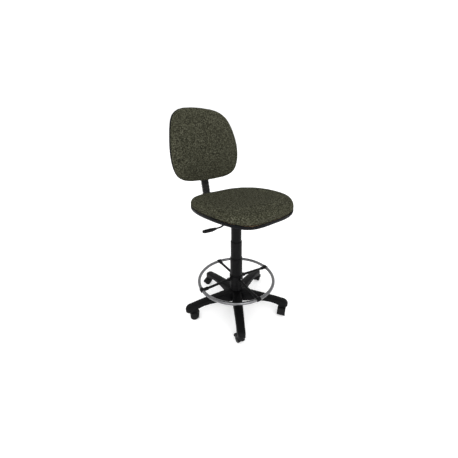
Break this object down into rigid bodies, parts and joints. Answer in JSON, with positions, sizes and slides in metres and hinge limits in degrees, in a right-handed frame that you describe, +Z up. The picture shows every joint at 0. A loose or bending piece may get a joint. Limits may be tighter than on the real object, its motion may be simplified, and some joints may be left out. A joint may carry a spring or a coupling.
{
  "type": "drafting chair",
  "caption": "Armless swivel drafting chair: padded contoured seat and back, gas lift under a telescopic cover, chromed footring and a nylon base on twin-wheel casters.",
  "frame": {"origin": "on the floor, on the axis of the column", "axes": "+Z up along the column; the chair faces -Y, so the sitter's left is +X and the height lever is on -X"},
  "size_m": [0.6253, 0.6242, 1.137],
  "materials": {
    "base_nylon": "glass-filled nylon with a fine moulded grain",
    "cover_plastic": "satin moulded plastic",
    "caster_nylon": "moulded nylon, treads polished by rolling",
    "bright_steel": "zinc-plated",
    "black_steel": "black powder coat",
    "chrome_ring": "bright chrome plate",
    "bush_nylon": "plain nylon",
    "seal_rubber": "plain",
    "bellows_rubber": "soft ribbed rubber",
    "button_nylon": "plain nylon",
    "knob_plastic": "satin moulded plastic",
    "shell_plastic": "moulded polypropylene with a leather-like grain",
    "plywood": "raw plywood",
    "tweed": "olive, grey and black woven tweed"
  },
  "bodies": {
    "base": {"star_base": "base_nylon", "lift_outer_tube": "black_steel", "guide_bush": "bush_nylon", "thrust_bearing": "bright_steel", "caster_stems": "bright_steel"},
    "spindle": {"piston_rod": "bright_steel", "piston": "bright_steel", "rod_clip": "bright_steel"},
    "seat": {"gas_cylinder": "black_steel", "cylinder_seal": "seal_rubber", "taper_socket": "bright_steel", "mechanism_housing": "black_steel", "seat_bolts": "bright_steel", "tee_nuts": "bright_steel", "seat_board": "plywood", "seat_cushion": "tweed", "seat_shell": "shell_plastic", "sleeve_upper": "cover_plastic", "lever_pivot_pin": "bright_steel"},
    "middle_sleeve": {"sleeve_middle": "cover_plastic"},
    "footring": {"footring_ring": "chrome_ring", "footring_hub": "cover_plastic", "footring_spokes": "black_steel", "footring_clips": "cover_plastic", "footring_screws": "bright_steel", "sleeve_lower": "cover_plastic"},
    "lock_nut": {"footring_lock_nut": "cover_plastic"},
    "lever": {"lever_rod": "black_steel", "lever_paddle": "knob_plastic"},
    "release_button": {"release_pin": "button_nylon"},
    "back_arm": {"back_bar": "black_steel", "bar_bellows": "bellows_rubber"},
    "depth_clamp": {"depth_knob": "knob_plastic"},
    "backrest": {"back_shell": "shell_plastic", "back_board": "plywood", "back_cushion": "tweed", "back_bracket": "shell_plastic", "back_screws": "bright_steel"},
    "height_clamp": {"height_knob": "knob_plastic"},
    "caster_front_right": {"hood_front_right": "caster_nylon", "axle_front_right": "bright_steel"},
    "wheel_a_body_front_right": {"wheel_a_front_right": "caster_nylon"},
    "wheel_b_body_front_right": {"wheel_b_front_right": "caster_nylon"},
    "caster_front_left": {"hood_front_left": "caster_nylon", "axle_front_left": "bright_steel"},
    "wheel_a_body_front_left": {"wheel_a_front_left": "caster_nylon"},
    "wheel_b_body_front_left": {"wheel_b_front_left": "caster_nylon"},
    "caster_left": {"hood_left": "caster_nylon", "axle_left": "bright_steel"},
    "wheel_a_body_left": {"wheel_a_left": "caster_nylon"},
    "wheel_b_body_left": {"wheel_b_left": "caster_nylon"},
    "caster_rear": {"hood_rear": "caster_nylon", "axle_rear": "bright_steel"},
    "wheel_a_body_rear": {"wheel_a_rear": "caster_nylon"},
    "wheel_b_body_rear": {"wheel_b_rear": "caster_nylon"},
    "caster_right": {"hood_right": "caster_nylon", "axle_right": "bright_steel"},
    "wheel_a_body_right": {"wheel_a_right": "caster_nylon"},
    "wheel_b_body_right": {"wheel_b_right": "caster_nylon"}
  },
  "joints": [
    {"name": "seat_swivel", "type": "hinge", "parent": "base", "child": "spindle", "pos_m": [0, 0, 0.1], "axis": [0, 0, 1], "continuous": true},
    {"name": "seat_height", "type": "slide", "parent": "spindle", "child": "seat", "axis": [0, 0, 1], "range_m": [-0.1, 0.1]},
    {"name": "cover_telescope", "type": "slide", "parent": "base", "child": "middle_sleeve", "axis": [0, 0, 1], "range_m": [-0.045, 0.045]},
    {"name": "footring_height", "type": "slide", "parent": "base", "child": "footring", "axis": [0, 0, 1], "range_m": [0, 0.04]},
    {"name": "footring_lock", "type": "hinge", "parent": "footring", "child": "lock_nut", "pos_m": [0, 0, 0.15], "axis": [0, 0, 1], "range_deg": [0, 90]},
    {"name": "height_lever", "type": "hinge", "parent": "seat", "child": "lever", "pos_m": [-0.027, 0, 0.629], "axis": [0, 1, 0], "range_deg": [0, 8], "stiffness_Nm_per_rad": 5, "springref_deg": -11.46},
    {"name": "release_travel", "type": "slide", "parent": "seat", "child": "release_button", "axis": [0, 0, 1], "range_m": [-0.0046, 0]},
    {"name": "back_depth", "type": "slide", "parent": "seat", "child": "back_arm", "axis": [0, 1, 0], "range_m": [-0.025, 0.03]},
    {"name": "depth_clamp_turn", "type": "hinge", "parent": "seat", "child": "depth_clamp", "pos_m": [0, 0.122, 0.58], "axis": [0, 0, 1], "range_deg": [0, 270]},
    {"name": "back_height", "type": "slide", "parent": "back_arm", "child": "backrest", "axis": [0, 0.1736, 0.9848], "range_m": [-0.03, 0.045], "deforming": ["bar_bellows"]},
    {"name": "height_clamp_turn", "type": "hinge", "parent": "backrest", "child": "height_clamp", "pos_m": [0, 0.30899, 0.86711], "axis": [0, 0.9848, -0.1736], "range_deg": [0, 270]},
    {"name": "swivel_front_right", "type": "hinge", "parent": "base", "child": "caster_front_right", "pos_m": [-0.16811, -0.23138, 0.06], "axis": [0, 0, 1], "continuous": true},
    {"name": "roll_a_front_right", "type": "hinge", "parent": "caster_front_right", "child": "wheel_a_body_front_right", "pos_m": [-0.16285, -0.21521, 0.023], "axis": [-0.9511, 0.309, 0], "continuous": true},
    {"name": "roll_b_front_right", "type": "hinge", "parent": "caster_front_right", "child": "wheel_b_body_front_right", "pos_m": [-0.16285, -0.21521, 0.023], "axis": [-0.9511, 0.309, 0], "continuous": true},
    {"name": "swivel_front_left", "type": "hinge", "parent": "base", "child": "caster_front_left", "pos_m": [0.16811, -0.23138, 0.06], "axis": [0, 0, 1], "continuous": true},
    {"name": "roll_a_front_left", "type": "hinge", "parent": "caster_front_left", "child": "wheel_a_body_front_left", "pos_m": [0.15338, -0.23988, 0.023], "axis": [0.5, -0.866, 0], "continuous": true},
    {"name": "roll_b_front_left", "type": "hinge", "parent": "caster_front_left", "child": "wheel_b_body_front_left", "pos_m": [0.15338, -0.23988, 0.023], "axis": [0.5, -0.866, 0], "continuous": true},
    {"name": "swivel_left", "type": "hinge", "parent": "base", "child": "caster_left", "pos_m": [0.272, 0.08838, 0.06], "axis": [0, 0, 1], "continuous": true},
    {"name": "roll_a_left", "type": "hinge", "parent": "caster_left", "child": "wheel_a_body_left", "pos_m": [0.28687, 0.09662, 0.023], "axis": [-0.4848, 0.8746, 0], "continuous": true},
    {"name": "roll_b_left", "type": "hinge", "parent": "caster_left", "child": "wheel_b_body_left", "pos_m": [0.28687, 0.09662, 0.023], "axis": [-0.4848, 0.8746, 0], "continuous": true},
    {"name": "swivel_rear", "type": "hinge", "parent": "base", "child": "caster_rear", "pos_m": [0, 0.286, 0.06], "axis": [0, 0, 1], "continuous": true},
    {"name": "roll_a_rear", "type": "hinge", "parent": "caster_rear", "child": "wheel_a_body_rear", "pos_m": [-0.0085, 0.30072, 0.023], "axis": [-0.866, -0.5, 0], "continuous": true},
    {"name": "roll_b_rear", "type": "hinge", "parent": "caster_rear", "child": "wheel_b_body_rear", "pos_m": [-0.0085, 0.30072, 0.023], "axis": [-0.866, -0.5, 0], "continuous": true},
    {"name": "swivel_right", "type": "hinge", "parent": "base", "child": "caster_right", "pos_m": [-0.272, 0.08838, 0.06], "axis": [0, 0, 1], "continuous": true},
    {"name": "roll_a_right", "type": "hinge", "parent": "caster_right", "child": "wheel_a_body_right", "pos_m": [-0.25808, 0.07863, 0.023], "axis": [0.5736, 0.8192, 0], "continuous": true},
    {"name": "roll_b_right", "type": "hinge", "parent": "caster_right", "child": "wheel_b_body_right", "pos_m": [-0.25808, 0.07863, 0.023], "axis": [0.5736, 0.8192, 0], "continuous": true}
  ],
  "couplings": [
    {"joint": "cover_telescope", "follows": "seat_height", "ratio": 0.45},
    {"joint": "release_travel", "follows": "height_lever", "m_per_rad": -0.0315}
  ]
}
